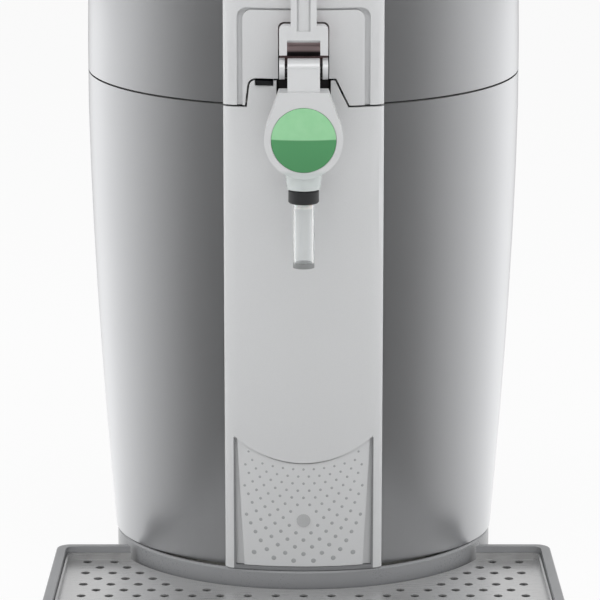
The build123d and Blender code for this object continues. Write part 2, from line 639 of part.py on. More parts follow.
def lid_centre_strip():
    """The band that runs over the lid, with the arch-shaped opening for the tap and the hinge knuckles."""
    low = STRIP_TOP_PROUD - 1.5
    band = lid_form(PANEL_PROUD, STRIP_REAR_PROUD, STRIP_TOP_PROUD)
    band &= block(BORDER - PANEL_HALF, PANEL_HALF - BORDER, -FAR, FAR, 0, FAR)
    low_band = lid_form(PANEL_PROUD - BORDER_DROP, STRIP_REAR_PROUD - 1, low)
    band += low_band & block(-PANEL_HALF, PANEL_HALF, -FAR, FAR, 0, FAR)
    band += panel_block(PANEL_HALF, PANEL_PROUD, 0, SEAM_Z - 17, DOME_START)
    inner = lid_form(PANEL_PROUD - SKIN, STRIP_REAR_PROUD - SKIN, STRIP_TOP_PROUD - SKIN)
    wall = PANEL_HALF - BORDER - 1
    inner &= block(-wall, wall, -FAR, FAR, 0, FAR)
    strip = above_seam(band - inner - lid_form(-SKIN, -SKIN, -SKIN))
    strip -= front_prism(seam_step(SEAM_GAP), -FAR, 0)
    strip -= front_prism(arch(ARCH_HALF, ARCH_TOP, ARCH_CORNER), -FAR, -60)
    for x in (27, -27 - KNUCKLE_WIDTH):
        strip += block(x, x + KNUCKLE_WIDTH, REAR_Y + 1, HINGE_Y, HINGE_Z, HINGE_Z + 9)
        strip += rod_x(KNUCKLE, x, x + KNUCKLE_WIDTH, HINGE_Y, HINGE_Z)
        strip -= rod_x(HINGE_PIN + RUN_FIT, x - 1, x + KNUCKLE_WIDTH + 1, HINGE_Y, HINGE_Z)
    return strip


def tap_surround():
    """The field round the tap: it stands flush in the arch, with its flange behind the strip."""
    pad_arch = arch(ARCH_HALF - ARCH_GROOVE, ARCH_TOP - ARCH_GROOVE_TOP, ARCH_CORNER)
    flange_arch = arch(ARCH_HALF + 2.5, ARCH_TOP + 2, ARCH_CORNER)
    surround = lid_form(PANEL_PROUD, 0, 0) & front_prism(pad_arch, -FAR, -60)
    surround += lid_form(PANEL_PROUD - SKIN - 0.1, 0, 0) & front_prism(flange_arch, -FAR, -60)
    surround = above_seam(surround - lid_form(PANEL_PROUD - SKIN - 2.2, 0, 0))
    surround -= front_prism(seam_step(SEAM_GAP), -FAR, 0)
    return surround - front_prism(arch(TAP_OPENING_HALF, TAP_OPENING_TOP, TAP_CORNER), -FAR, -60)


def lid_liner():
    """Inner floor of the lid, with the ring that enters the seal and a notch for the latch."""
    z = LINER_Z
    latch_left, latch_right = LATCH_X
    liner = layer(plan(z, -LINER_INSET), z, z + LINER_WALL)
    liner += rod_z(CUP_RADIUS - 1.5, z - 7, z) - rod_z(CUP_RADIUS - 4, z - 8, z)
    liner += rod_z(10, z - 9, z)
    liner -= block(latch_left - 2.4, latch_right + 2.3, -FAR, -100.5, 0, FAR)
    return liner - rod_z(7.1, z - 12, z + 5)


def lid_insulation():
    z = LINER_Z + LINER_WALL
    foam = layer(plan(z, -LINER_INSET - PART_GAP), z, z + INSULATION)
    foam -= block(-33, 24, -FAR, -92, 0, FAR)
    foam -= block(-4.6, 4.6, -100, 8, 0, FAR)
    return foam - rod_z(8, z - 1, FAR)


def latch_keeper():
    z = LINER_Z + LINER_WALL
    keeper = block(-29, -19, -98.5, -97, z, 362) + block(-29, -19, -98.5, -92.3, z, z + 1.5)
    return keeper - block(-26.5, -21.5, -99, -96, 355.5, 359.5)


def latch_bar():
    latch_left, latch_right = LATCH_X
    tip, thick = -102.4, 2.6
    bar = block(latch_left, latch_right, -131.0, tip, LATCH_Z, LATCH_Z + thick)
    return bar + block(-26, -22, tip - 3.6, tip, LATCH_Z + thick, LATCH_Z + 6.1)


# ------------------------------------------------------------------ tap, fixed parts

def tap_housing():
    """Valve body behind the lid's opening, with the arm and clip that hold the spout."""
    back_wall, front_wall, stop = -104.0, -130.0, -144.5
    arm_front = SPOUT_Y + 11.6
    top = TAP_OPENING_TOP - 1.0
    housing = front_prism(arch(15, top, 3.8, 344), front_wall, back_wall)
    housing += front_prism(arch(14.7, top, 3.8, 379.5), stop, front_wall + 1)
    housing += block(-18, 18, -123.6, -120.5, 344, 394)
    housing += block(-9, 9, stop - 2.5, front_wall + 1, 354.2, 358.4)
    housing += block(-7, 7, arm_front, front_wall + 1, 334, LINE_Z - LINE_RADIUS - PART_GAP)
    housing += block(-6, 6, SPOUT_Y + 6.5, SPOUT_Y + 14, 297, 340)
    clip = rod_z(NOZZLE_RADIUS + 2.2, 312, 318, 0, SPOUT_Y) - block(-20, 20, -FAR, SPOUT_Y - 2, 300, 330)
    housing += clip + block(-3, 3, SPOUT_Y + 5, SPOUT_Y + 7, 312, 318)
    housing -= rod_z(NOZZLE_RADIUS + RUN_FIT, 290, 336, 0, SPOUT_Y)
    housing -= rod_y(LINE_RADIUS + 0.4, -150, -90, 0, LINE_Z)
    housing -= rod_z(PLUNGER_RADIUS + RUN_FIT, 353, 375, 0, PLUNGER_Y)
    return housing - block(-12, 12, -118, back_wall + 1, 362, 388)


def tap_bracket():
    """Steel stirrup on the housing whose two ears carry the axle."""
    inner, outer, face = 10.1, 11.1, -130.0
    base = block(-outer, outer, face - 1.2, face, 359, 376)
    ear = side_prism(((-157, 361), (-152, 359.5), (face - 0.5, 359.5), (face - 0.5, 365.3), (-147.5, 365.3),
                      (-147.5, 370.5), (-157, 369)), inner, outer)
    return base + both_sides(ear - rod_x(AXLE_RADIUS, 5, 20, AXLE_Y, AXLE_Z))


def tap_pin():
    return rod_x(AXLE_RADIUS, -YOKE_HALF, YOKE_HALF, AXLE_Y, AXLE_Z)


def beer_line():
    path = FilletPolyline((0, 0, 333), (0, 0, LINE_Z), (0, SPOUT_Y, LINE_Z), (0, SPOUT_Y, 319), radius=LINE_BEND)
    start = Plane(origin=path @ 0, z_dir=path % 0)
    return sweep(start * Circle(LINE_RADIUS), path) - sweep(start * Circle(LINE_BORE), path)


def line_clips():
    clips = [block(-4.3, 4.3, y - 3, y + 3, LINE_Z - 4.6, LINE_Z + 4.7) for y in (-75, -30)]
    return Part() + clips - rod_y(LINE_RADIUS + 0.02, -80, -25, 0, LINE_Z)


def keg_connector():
    body = rod_z(13, 308, 321) + rod_z(16, 317, 319.5) + rod_z(7, 320, 337)
    return body - rod_z(LINE_RADIUS, 330, 340) - rod_z(4.5, 307, 316)


def spout_nozzle():
    nozzle = rod_z(NOZZLE_RADIUS, 284, NOZZLE_TOP, 0, SPOUT_Y)
    nozzle -= rod_z(LINE_RADIUS + 0.02, 318, NOZZLE_TOP + 1, 0, SPOUT_Y)
    return nozzle - rod_z(LINE_BORE, 283, 320, 0, SPOUT_Y)


def spout_collar():
    ring = rod_z(SPOUT_COLLAR_RADIUS, SPOUT_COLLAR_BOTTOM, SPOUT_COLLAR_TOP, 0, SPOUT_Y)
    ring = chamfer(ring.edges(), 0.7)
    ring -= rod_z(SPOUT_RADIUS, SPOUT_COLLAR_BOTTOM - 1, SPOUT_TOP, 0, SPOUT_Y)
    return ring - rod_z(NOZZLE_RADIUS, 280, 300, 0, SPOUT_Y)


def spout_tube():
    return rod_z(SPOUT_RADIUS, SPOUT_BOTTOM, SPOUT_TOP, 0, SPOUT_Y) \
        - rod_z(SPOUT_BORE, SPOUT_BOTTOM - 1, SPOUT_TOP + 1, 0, SPOUT_Y)


# ------------------------------------------------------------------ tap, moving parts

def tap_lever():
    """Handle with its yoke, two hub eyes on the axle, and the horns that lift the plunger."""
    front, back = LEVER_FRONT, LEVER_FRONT + LEVER_THICK
    inner = YOKE_HALF - EYE_WIDTH
    yoke = front_prism(arch(YOKE_HALF, 391.9, 3.4, 374), front, back)
    yoke -= block(-TONGUE_HALF - 0.3, TONGUE_HALF + 0.3, -FAR, 0, 370, WINDOW_TOP)
    yoke -= side_prism(((front - 1, WINDOW_TOP - 1), (front + 3.2, WINDOW_TOP - 1), (front + 2.6, WINDOW_TOP),
                        (front - 1, WINDOW_TOP + 2.2)), -TONGUE_HALF - 0.3, TONGUE_HALF + 0.3)
    stem = side_prism(((front, WINDOW_TOP + 3.4), (front - 1.5, LEVER_TOP - 20), (front + 1.5, LEVER_TOP),
                       (front + 6, LEVER_TOP), (back - 1, 440), (back - 0.5, 388)), -LEVER_HALF, LEVER_HALF)
    stem = fillet(stem.edges().filter_by(Axis.X), 1.0)
    channel = side_prism(((front - 5, 388.5), (front + 1.2, 388.5), (front - 0.2, LEVER_TOP - 22),
                          (front - 5, LEVER_TOP - 22)), -3.35, 3.35)
    horn_y, horn_half = AXLE_Y + 9.5, 1.8
    side = rod_x(EYE_RADIUS, inner, YOKE_HALF, AXLE_Y, AXLE_Z)
    side += block(inner, YOKE_HALF, -150.5, back - 0.1, AXLE_Z, WINDOW_TOP)
    side += block(inner, YOKE_HALF, AXLE_Y, horn_y, AXLE_Z - horn_half, AXLE_Z + horn_half)
    side += rod_x(horn_half, inner, YOKE_HALF, horn_y, AXLE_Z)
    side -= rod_x(AXLE_RADIUS + RUN_FIT, inner - 1, YOKE_HALF + 1, AXLE_Y, AXLE_Z)
    return yoke + stem - channel + both_sides(side)


def valve_plunger():
    head = block(-14.5, 14.5, PLUNGER_Y - 2.5, PLUNGER_Y + 2.5, PLUNGER_HEAD, PLUNGER_HEAD + 3.8)
    stem_foot = LINE_Z + LINE_RADIUS + PART_GAP
    return head + rod_z(PLUNGER_RADIUS, stem_foot, PLUNGER_HEAD + 0.6, 0, PLUNGER_Y)


def tap_head():
    """Flap over the spout: ring for the badge, hollow neck, and the tongue that hangs on the axle."""
    body = front_prism(pear(HEAD_RADIUS, SHOULDER_HALF, SHOULDER_TOP), HEAD_FRONT, HEAD_BACK)
    body += cone_z(NECK_BOTTOM_RADIUS, NECK_TOP_RADIUS, NECK_BOTTOM, NECK_TOP, SPOUT_Y)
    hollow = front_prism(pear(HEAD_RADIUS - HEAD_WALL, SHOULDER_HALF - HEAD_WALL, SHOULDER_TOP - HEAD_WALL),
                         HEAD_FRONT + HEAD_FACE, HEAD_BACK + 20)
    hollow += cone_z(NECK_BOTTOM_RADIUS - NECK_WALL, NECK_TOP_RADIUS - NECK_WALL,
                     NECK_BOTTOM - 2, NECK_TOP, SPOUT_Y)
    seat = rod_y(BADGE_RADIUS + 0.2, HEAD_FRONT - 5, HEAD_FRONT + BADGE_SEAT, 0, HEAD_Z)
    head = body - hollow - block(-7.4, 7.4, SPOUT_Y, -150, 290, 312)
    tongue = side_prism(((AXLE_Y - 5.6, 367.0), (-175, 355.2), (HEAD_FRONT, 350.0), (HEAD_FRONT, 345.2),
                         (-178.6, 345.2), (-174, 353), (AXLE_Y - 3, 359)), -TONGUE_HALF, TONGUE_HALF)
    tongue += rod_x(TONGUE_BARREL, -TONGUE_HALF, TONGUE_HALF, AXLE_Y, AXLE_Z)
    tongue -= rod_x(AXLE_RADIUS + RUN_FIT, -20, 20, AXLE_Y, AXLE_Z)
    return head + tongue - seat


def tap_badge():
    back = HEAD_FRONT + BADGE_SEAT - PART_GAP
    edge = HEAD_FRONT - 0.2
    sphere_radius = (BADGE_RADIUS ** 2 + BADGE_RISE ** 2) / (2 * BADGE_RISE)
    dome = Pos(0, edge - BADGE_RISE + sphere_radius, HEAD_Z) * Sphere(sphere_radius)
    return rod_y(BADGE_RADIUS, edge, back, 0, HEAD_Z) + (dome & rod_y(BADGE_RADIUS, edge - 5, edge, 0, HEAD_Z))


# ------------------------------------------------------------------ drip tray

def drip_tray():
    ledge = GRID_TOP - GRID_SHEET - 0.2
    underside = TRAY_BASIN - 2
    tray = layer(tray_outline(0), TRAY_BOTTOM, TRAY_TOP)
    tray = fillet(tray.edges().group_by(Axis.Z)[-1], 1.2)
    tray -= layer(tray_arc(0), 0, TRAY_TOP + 5)
    tray -= block(-TRAY_ARC_HALF, TRAY_ARC_HALF, TRAY_ARC_CENTRE, FAR, 0, FAR)
    tray -= layer(tray_outline(TRAY_RIM), ledge, TRAY_TOP + 5)
    tray -= layer(tray_outline(TRAY_RIM + 2) - tray_arc(2.5), TRAY_BASIN, ledge + 1)
    tray -= layer(tray_outline(TRAY_WALL) - tray_arc(2.5), 0, underside)
    for side in (-1, 1):
        x0, x1 = sorted(side * (x + d) for x, d in zip(RUNNER_X, (-2, 2)))
        tray -= block(x0, x1, -135, -40, 0, underside)
    return tray


def hole_centres():
    """Centres of the grid's staggered holes, clear of its edge and of the arc."""
    centres = []
    arc_b = TRAY_ARC_FRONT + TRAY_ARC_CENTRE
    rows = int((FIRST_ROW_Y - TRAY_FRONT_Y - 22) / ROW_PITCH) + 1
    for row in range(rows):
        y = FIRST_ROW_Y - row * ROW_PITCH
        for k in range(-9, 10):
            x = (k + row % 2 / 2) * HOLE_PITCH
            u, v = x / TRAY_ARC_HALF, (y - TRAY_ARC_CENTRE) / arc_b
            slope = 2 * sqrt((u / TRAY_ARC_HALF) ** 2 + (v / arc_b) ** 2)
            clear_of_arc = (u * u + v * v - 1) / slope
            if clear_of_arc > HOLE_CLEARANCE and abs(x) < TRAY_HALF - 14:
                centres.append((x, y))
    return centres


def drip_grid():
    edge = TRAY_RIM + 0.5
    grid = layer(tray_outline(edge), GRID_TOP - GRID_SHEET, GRID_TOP + GRID_LIP)
    grid -= layer(tray_outline(edge + GRID_SHEET), GRID_TOP, GRID_TOP + 20)
    grid -= layer(tray_arc(0.6), 0, FAR)
    holes = Sketch() + [Pos(x, y) * RegularPolygon(HOLE_RADIUS, HOLE_SIDES) for x, y in hole_centres()]
    return grid - layer(holes, GRID_TOP - 5, GRID_TOP + 5)


# ------------------------------------------------------------------ files

def main():
    shell_left, shell_right = side_shells()
    lid_left, lid_right = lid_shells()
    nodes = {"side_shell_left": shell_left, "side_shell_right": shell_right,
             "lid_shell_left": lid_left, "lid_shell_right": lid_right}
    for make in (rear_cover, case_screws, front_panel, splash_plate, pilot_lamp_lens, lamp_board, base_collar,
                 base_tub, feet, foam_jacket, cooling_cup, temperature_sensor, chamber_deck, chamber_seal,
                 cold_block, thermoelectric_module, heat_sink, sink_screws, fan_frame, fan_rotor, power_supply,
                 control_board, power_inlet, switch_frame, power_rocker, hinge_pin, lid_centre_strip,
                 tap_surround, lid_liner, lid_insulation, latch_keeper, latch_bar, tap_housing, tap_bracket,
                 tap_pin, beer_line, line_clips, keg_connector, spout_nozzle, spout_collar, spout_tube,
                 tap_lever, valve_plunger, tap_head, tap_badge, drip_tray, drip_grid):
        nodes[make.__name__] = make()
    os.makedirs("parts", exist_ok=True)
    for name, solid in nodes.items():
        export_step(Pos(0, ORIGIN_SHIFT, 0) * solid, f"parts/{name}.step")


main()
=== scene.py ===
from math import cos, radians

import bmesh
import bpy
from mathutils import Matrix, Vector
from mathutils.bvhtree import BVHTree


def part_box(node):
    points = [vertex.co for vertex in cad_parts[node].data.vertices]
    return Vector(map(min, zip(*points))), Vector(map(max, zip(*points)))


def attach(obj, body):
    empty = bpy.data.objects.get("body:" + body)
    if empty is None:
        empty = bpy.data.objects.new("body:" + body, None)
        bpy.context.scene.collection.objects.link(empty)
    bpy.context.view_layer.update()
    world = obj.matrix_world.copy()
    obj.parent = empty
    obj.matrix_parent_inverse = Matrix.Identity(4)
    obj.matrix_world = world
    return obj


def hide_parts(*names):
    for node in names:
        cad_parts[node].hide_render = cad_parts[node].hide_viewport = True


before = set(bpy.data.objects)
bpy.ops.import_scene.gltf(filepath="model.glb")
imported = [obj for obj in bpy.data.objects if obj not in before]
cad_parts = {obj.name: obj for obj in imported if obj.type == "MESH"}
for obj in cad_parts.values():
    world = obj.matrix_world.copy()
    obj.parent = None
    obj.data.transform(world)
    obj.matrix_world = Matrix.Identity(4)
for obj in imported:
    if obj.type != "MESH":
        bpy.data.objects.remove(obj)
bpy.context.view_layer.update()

# ---------------------------------------------------------------- table and studio
# The dispenser stands on a matt white table. In polished paint the table mirrors as a studio does:
# dim in front of the object, where the camera stands, and bright along both sides.


def linear(code):
    """Turns an sRGB hex colour into the linear values that shaders and lamps take."""
    parts = [int(code[i:i + 2], 16) / 255 for i in (1, 3, 5)]
    return [c / 12.92 if c <= 0.04045 else ((c + 0.055) / 1.055) ** 2.4 for c in parts] + [1.0]


def add(tree, kind, inputs=None, **settings):
    """Adds one node, sets its fields, then links or fills its inputs."""
    made = tree.nodes.new(kind)
    for field, value in settings.items():
        setattr(made, field, value)
    for socket, value in (inputs or {}).items():
        if isinstance(value, bpy.types.NodeSocket):
            tree.links.new(value, made.inputs[socket])
        else:
            made.inputs[socket].default_value = value
    return made


def new_material(name):
    """Makes an empty node material."""
    material = bpy.data.materials.new(name)
    material.use_nodes = True
    material.node_tree.nodes.clear()
    return material


TABLE_HALF = 5.0
TABLE_WHITE = "#F7F7F7"
CAMERA_GLOW = 0.92  # share of plain white that the camera sees, the rest takes the object's shadow
ROOM_LIGHT = 0.34   # plain light that comes from all round the room
# (angle round the object from its front, brightness that glossy surfaces see there)
TABLE_MIRRORED = ((0, 0.04), (44, 0.06), (55, 0.11), (90, 0.58), (118, 1.0), (135, 1.25), (150, 1.2),
                  (160, 0.7), (170, 0.15))
ROOM_MIRRORED = ((0, 0.05), (50, 0.08), (75, 0.3), (95, 0.65), (130, 0.8), (180, 0.8))


def round_ramp(tree, place, levels):
    """A brightness that follows the angle round the object, as a list of angles and levels gives it."""
    flat = add(tree, "ShaderNodeVectorMath", {0: place, 1: (1, 1, 0)}, operation="MULTIPLY")
    towards = add(tree, "ShaderNodeVectorMath", {0: flat.outputs[0]}, operation="NORMALIZE")
    apart = add(tree, "ShaderNodeSeparateXYZ", {0: towards.outputs[0]})
    round_it = add(tree, "ShaderNodeMapRange", {"Value": apart.outputs["Y"], "From Min": -1.0, "From Max": 1.0})
    ramp = add(tree, "ShaderNodeValToRGB", {"Fac": round_it.outputs["Result"]})
    stops = ramp.color_ramp.elements
    stops.remove(stops[1])
    for index, (angle, level) in enumerate(levels):
        stop = stops.new((1 - cos(radians(angle))) / 2) if index else stops[0]
        stop.color = (level, level, level, 1)
    return ramp.outputs["Color"]


table_mat = new_material("matt_table_paint")
tree = table_mat.node_tree
path = add(tree, "ShaderNodeLightPath")
where = add(tree, "ShaderNodeTexCoord")
seen = add(tree, "ShaderNodeMath",
           {0: path.outputs["Is Camera Ray"], 1: path.outputs["Is Transmission Ray"]}, operation="MAXIMUM")
glow_share = add(tree, "ShaderNodeMath", {0: seen.outputs[0], 1: CAMERA_GLOW}, operation="MULTIPLY")
matt = add(tree, "ShaderNodeBsdfDiffuse", {"Color": linear(TABLE_WHITE)})
white = add(tree, "ShaderNodeEmission", {"Color": (1, 1, 1, 1), "Strength": 1.0})
mirrored = add(tree, "ShaderNodeEmission",
               {"Color": round_ramp(tree, where.outputs["Object"], TABLE_MIRRORED), "Strength": 1.0})
plain = add(tree, "ShaderNodeMixShader", {0: glow_share.outputs[0], 1: matt.outputs[0], 2: white.outputs[0]})
both = add(tree, "ShaderNodeMixShader",
           {0: path.outputs["Is Glossy Ray"], 1: plain.outputs[0], 2: mirrored.outputs[0]})
add(tree, "ShaderNodeOutputMaterial", {"Surface": both.outputs[0]})

table_mesh = bpy.data.meshes.new("table_top")
bm = bmesh.new()
bmesh.ops.create_grid(bm, x_segments=1, y_segments=1, size=TABLE_HALF)
bm.to_mesh(table_mesh)
bm.free()
table = bpy.data.objects.new("table_top", table_mesh)
table.data.materials.append(table_mat)
bpy.context.scene.collection.objects.link(table)

world = bpy.data.worlds.new("studio")
bpy.context.scene.world = world
world.use_nodes = True
tree = world.node_tree
tree.nodes.clear()
path = add(tree, "ShaderNodeLightPath")
room = add(tree, "ShaderNodeBackground", {"Color": linear("#FFFFFF"), "Strength": ROOM_LIGHT})
backdrop = add(tree, "ShaderNodeBackground", {"Color": (1, 1, 1, 1), "Strength": 1.0})
where = add(tree, "ShaderNodeTexCoord")
mirrored = add(tree, "ShaderNodeBackground",
               {"Color": round_ramp(tree, where.outputs["Generated"], ROOM_MIRRORED), "Strength": 1.0})
both = add(tree, "ShaderNodeMixShader",
           {0: path.outputs["Is Glossy Ray"], 1: room.outputs[0], 2: mirrored.outputs[0]})
seen = add(tree, "ShaderNodeMath",
           {0: path.outputs["Is Camera Ray"], 1: path.outputs["Is Transmission Ray"]}, operation="MAXIMUM")
both = add(tree, "ShaderNodeMixShader", {0: seen.outputs[0], 1: both.outputs[0], 2: backdrop.outputs[0]})
add(tree, "ShaderNodeOutputWorld", {"Surface": both.outputs[0]})

AIM = Vector((0, 0, 0.22))  # the middle of the object, which the lamps face
# (lamp, its place, its width and height, its watts, whether glossy surfaces mirror it)
for name, place, size, watts, mirrors in (
        ("soft_box_left", (-2.2, -0.5, 0.9), (1.4, 2.2), 31, False),
        ("soft_box_right", (2.2, -0.5, 0.9), (1.4, 2.2), 29, False),
        ("soft_box_low", (0.0, -2.8, 0.35), (2.0, 0.5), 12, False),
        ("soft_box_over", (0.0, -1.6, 2.3), (2.2, 1.0), 24, True)):
    lamp_data = bpy.data.lights.new(name, "AREA")
    lamp_data.shape = "RECTANGLE"
    lamp_data.size, lamp_data.size_y = size
    lamp_data.energy = watts
    lamp = bpy.data.objects.new(name, lamp_data)
    lamp.location = place
    lamp.rotation_euler = (AIM - Vector(place)).to_track_quat("-Z", "Y").to_euler()
    lamp.visible_glossy = mirrors
    bpy.context.scene.collection.objects.link(lamp)

CAMERA_DIP = 12.53  # degrees that the camera looks down
camera_data = bpy.data.cameras.new("camera")
camera_data.sensor_width = 36.0
camera_data.lens = 227.3
camera_data.clip_end = 20.0
camera = bpy.data.objects.new("camera", camera_data)
camera.location = (-0.0022, -2.3795, 0.723)
camera.rotation_euler = (radians(90 - CAMERA_DIP), 0, 0)
bpy.context.scene.collection.objects.link(camera)
bpy.context.scene.camera = camera
bpy.context.scene.view_settings.view_transform = "Standard"

# ---------------------------------------------------------------- base tub and feet
# The tub is the floor of the casing and carries the tray's runners. It is injection-moulded in
# mid-grey ABS with a spark-eroded grain, and stands on four pressed-in rubber feet.

MM = 0.001
WELD_REACH = 0.01 * MM      # corners of facets that are nearer than this are one corner
EDGE_ANGLE = radians(24)    # facets that meet at more than this keep their edge
PATCH_SIZE = 40.0           # millimetres between the wide patches of a moulded surface
RELIEF_STRENGTH = 0.3
TINT_SPREAD = 0.015         # how far the colour of a moulded surface strays, as a share of it
NOISE_LOW = 0.3             # a noise lies nearly all between these two values
NOISE_HIGH = 0.7
SUM_LOW = 0.7               # and the sum of two noises between these
SUM_HIGH = 1.3


def soften(part, loose=False):
    """Smooths facets up to real edges. Loose facets, as a CAD node has, are joined first."""
    part.data.polygons.foreach_set("use_smooth", [True] * len(part.data.polygons))
    if loose:
        weld = part.modifiers.new("weld", "WELD")
        weld.merge_threshold = WELD_REACH
    split = part.modifiers.new("edges", "EDGE_SPLIT")
    split.split_angle = EDGE_ANGLE


def coat(material, *names):
    """Gives CAD nodes their material, with their facets joined and smoothed."""
    for name in names:
        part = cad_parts[name]
        part.data.materials.clear()
        part.data.materials.append(material)
        soften(part, loose=True)


def moulded(name, colour, roughness, grain, depth, metallic=0.0, spread=0.05):
    """A moulded or painted surface: its grain, in millimetres, moves both the gloss and the relief."""
    material = new_material(name)
    tree = material.node_tree
    where = add(tree, "ShaderNodeTexCoord")
    speckle = add(tree, "ShaderNodeTexNoise",
                  {"Vector": where.outputs["Object"], "Scale": 1 / (grain * MM), "Detail": 2.0})
    patches = add(tree, "ShaderNodeTexNoise",
                  {"Vector": where.outputs["Object"], "Scale": 1 / (PATCH_SIZE * MM), "Detail": 1.0})
    mixed = add(tree, "ShaderNodeMath", {0: speckle.outputs["Fac"], 1: patches.outputs["Fac"]}, operation="ADD")
    gloss = add(tree, "ShaderNodeMapRange",
                {"Value": mixed.outputs[0], "From Min": SUM_LOW, "From Max": SUM_HIGH,
                 "To Min": roughness - spread, "To Max": roughness + spread})
    tint = add(tree, "ShaderNodeMapRange",
               {"Value": speckle.outputs["Fac"], "From Min": NOISE_LOW, "From Max": NOISE_HIGH,
                "To Min": 1 - TINT_SPREAD, "To Max": 1 + TINT_SPREAD})
    shade = add(tree, "ShaderNodeVectorMath", {0: linear(colour)[:3], "Scale": tint.outputs["Result"]},
                operation="SCALE")
    relief = add(tree, "ShaderNodeBump",
                 {"Height": speckle.outputs["Fac"], "Strength": RELIEF_STRENGTH, "Distance": depth * MM})
    shader = add(tree, "ShaderNodeBsdfPrincipled",
                 {"Base Color": shade.outputs[0], "Metallic": metallic, "Roughness": gloss.outputs["Result"],
                  "Normal": relief.outputs["Normal"]})
    add(tree, "ShaderNodeOutputMaterial", {"Surface": shader.outputs[0]})
    return material


# Spark-eroded ABS: the fine dents of the mould scatter its gloss, so it looks soft and even.
tub_abs = moulded("spark_eroded_grey_abs", "#6E6F71", 0.45, grain=0.8, depth=0.05)
coat(tub_abs, "base_tub")

# Natural rubber with chalk in it: almost no gloss and a faint dusty mottle.
foot_rubber = moulded("black_moulded_rubber", "#1C1C1D", 0.75, grain=1.2, depth=0.08)
coat(foot_rubber, "feet", "chamber_seal")

# ---------------------------------------------------------------- base collar
# A band of grey ABS that closes the foot of the casing all round. It is moulded in one piece and
# clipped to the tub, and its smooth face is glossier than the tub's.

# Polished-tool ABS: a plain mid grey that mirrors the table weakly at its turned-back ends.
collar_abs = moulded("polished_grey_abs", "#8A8B8D", 0.30, grain=0.9, depth=0.015)
coat(collar_abs, "base_collar")

# ---------------------------------------------------------------- side shells
# Two barrel-shaped half shells of injection-moulded ABS in silver metallic paint, screwed to the
# rear cover. The lid's half shells are moulded and painted the same way.

# Metallic paint: aluminium flakes lie flat in the coat, so it mirrors broadly and darkens to the front.
flake_paint = moulded("silver_flake_paint", "#D0D1D3", 0.29, grain=0.5, depth=0.0015, metallic=0.88,
                      spread=0.012)
coat(flake_paint, "side_shell_left", "side_shell_right", "lid_shell_left", "lid_shell_right")

# ---------------------------------------------------------------- rear cover and its screws
# The rear cover is dark ABS with a moulded grille for the fan, held by six self-tapping screws.

# Grained ABS: the mould's coarse grain dulls the dark grey to a soft sheen.
cover_abs = moulded("dark_grey_cover_abs", "#4C4D4F", 0.48, grain=0.8, depth=0.06)
coat(cover_abs, "rear_cover")

# Zinc-plated steel: bright, slightly uneven, with a bluish cast.
zinc_steel = moulded("zinc_plated_steel", "#B9BDC2", 0.28, grain=0.6, depth=0.01, metallic=1.0)
coat(zinc_steel, "case_screws", "sink_screws", "latch_keeper")

# ---------------------------------------------------------------- front panel
# A curved centre panel in lighter silver, with a chamfered border down each side and a tongue
# that stands up behind the tap. It hooks into the side shells.

# Satin paint: fine pigment without large flakes, so it stays even and pale from every side.
SATIN = {"colour": "#CFD0D1", "roughness": 0.42, "grain": 0.6, "depth": 0.002, "metallic": 0.15,
         "spread": 0.02}
satin_paint = moulded("satin_silver_paint", **SATIN)
coat(satin_paint, "lid_centre_strip", "tap_surround")


def retint(material, share, colour):
    """Gives a moulded material a second colour, by a share of 0 to 1 over its surface."""
    tree = material.node_tree
    shader = next(n for n in tree.nodes if n.type == "BSDF_PRINCIPLED")
    first = shader.inputs["Base Color"].links[0].from_socket
    tone = add(tree, "ShaderNodeMix", {"Factor": share, "A": first, "B": linear(colour)}, data_type="RGBA")
    tree.links.new(tone.outputs["Result"], shader.inputs["Base Color"])


# The seat of the splash plate, a recess at the foot of the panel, is painted a darker grey as the shade in that
# recess.
SEAT_HALF = 43.6
SEAT_CORNER = 128.4   # the seat's smile-shaped upper edge, at its corners and in the middle
SEAT_DIP = 112.4
panel_mat = moulded("satin_silver_paint_seat_shade", **SATIN)
tree = panel_mat.node_tree
where = add(tree, "ShaderNodeTexCoord")
apart = add(tree, "ShaderNodeSeparateXYZ", {0: where.outputs["Object"]})
bowed = add(tree, "ShaderNodeMath", {0: apart.outputs["X"], 1: apart.outputs["X"]}, operation="MULTIPLY")
rim = add(tree, "ShaderNodeMath",
          {0: bowed.outputs[0], 1: (SEAT_CORNER - SEAT_DIP) / MM / SEAT_HALF ** 2, 2: SEAT_DIP * MM},
          operation="MULTIPLY_ADD")
under = add(tree, "ShaderNodeMath", {0: apart.outputs["Z"], 1: rim.outputs[0]}, operation="LESS_THAN")
reach = add(tree, "ShaderNodeMath", {0: apart.outputs["X"]}, operation="ABSOLUTE")
between = add(tree, "ShaderNodeMath", {0: reach.outputs[0], 1: SEAT_HALF * MM}, operation="LESS_THAN")
seat_shade = add(tree, "ShaderNodeMath", {0: under.outputs[0], 1: between.outputs[0]}, operation="MULTIPLY")
# painted shade: the seat's recess is tinted a darker grey
retint(panel_mat, seat_shade.outputs[0], "#7F8082")
coat(panel_mat, "front_panel")

# ---------------------------------------------------------------- splash plate
# A thin moulded plate let into the foot of the panel, behind a glass that is being filled. Raised
# dots on smile-shaped arcs cover it, larger towards the foot, and break up the drops that run down.

coat(satin_paint, "splash_plate")

